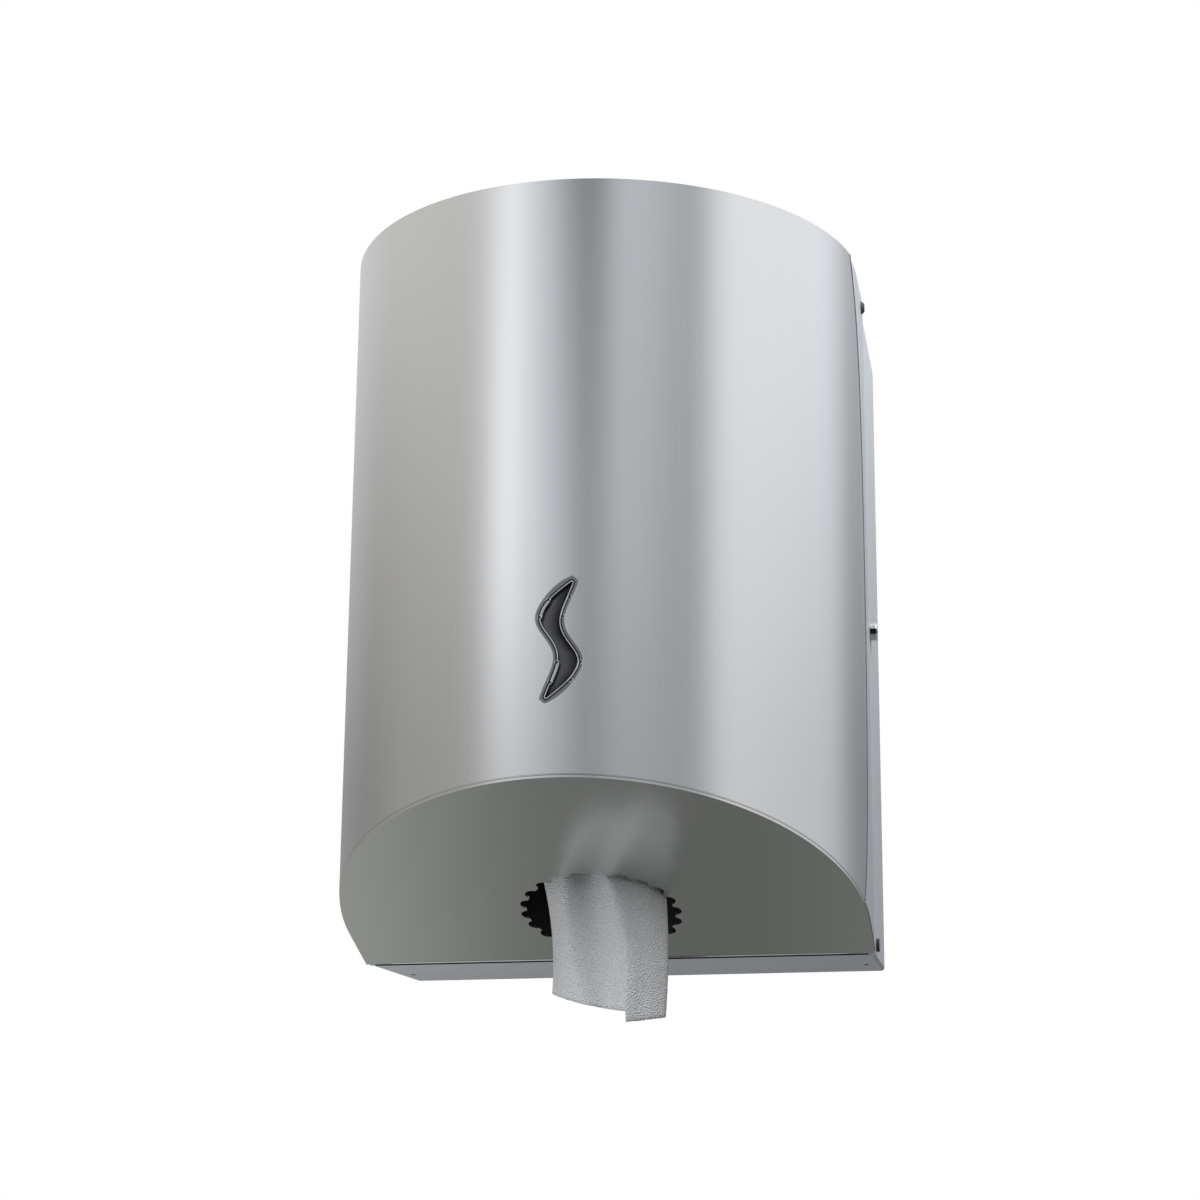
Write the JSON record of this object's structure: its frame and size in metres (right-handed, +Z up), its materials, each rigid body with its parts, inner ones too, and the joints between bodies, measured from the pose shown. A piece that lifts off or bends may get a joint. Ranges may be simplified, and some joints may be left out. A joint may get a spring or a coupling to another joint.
{
  "type": "centre-pull paper towel dispenser",
  "caption": "Wall dispenser for centre-pull paper rolls: half-round steel cover on a bottom hinge, slanted underside with a serrated outlet, wave-shaped sight window, key lock in the side.",
  "frame": {"origin": "centre of the four wall screws, on the wall plane", "axes": "+X to the right seen from the front, +Y into the wall, +Z up"},
  "size_m": [0.263, 0.25, 0.389],
  "materials": {
    "grey_moulding": "fine matt moulding, cool grey",
    "black_moulding": "matt moulding, black",
    "satin_steel": "satin stainless sheet",
    "zinc_steel": "zinc-plated",
    "lock_chrome": "polished",
    "smoky_lens": "clear smoky, glossy",
    "towel_paper": "soft embossed tissue"
  },
  "bodies": {
    "base": {"base_tray": "grey_moulding", "hinge_bushes": "black_moulding", "lock_barrel": "lock_chrome", "lock_washer": "zinc_steel", "lock_nut": "zinc_steel"},
    "cover": {"cover_frame": "grey_moulding", "cover_skin": "satin_steel", "cover_underside": "satin_steel", "window_lens": "smoky_lens", "hinge_arm_left": "zinc_steel", "hinge_arm_right": "zinc_steel", "hinge_pins": "zinc_steel", "roll_platform": "black_moulding", "platform_screws": "zinc_steel", "lock_keeper": "zinc_steel", "keeper_screws": "zinc_steel", "catch_studs": "black_moulding", "paper_roll": "towel_paper", "paper_tail": "towel_paper"},
    "lock_core": {"lock_plug": "lock_chrome", "lock_cam": "zinc_steel", "cam_screw": "zinc_steel"}
  },
  "joints": [
    {"name": "cover_hinge", "type": "hinge", "parent": "base", "child": "cover", "pos_m": [0, -0.064, -0.1682], "axis": [1, 0, 0], "range_deg": [0, 60]},
    {"name": "lock_turn", "type": "hinge", "parent": "base", "child": "lock_core", "pos_m": [0.1288, -0.066, -0.004], "axis": [-1, 0, 0], "range_deg": [0, 90]}
  ]
}
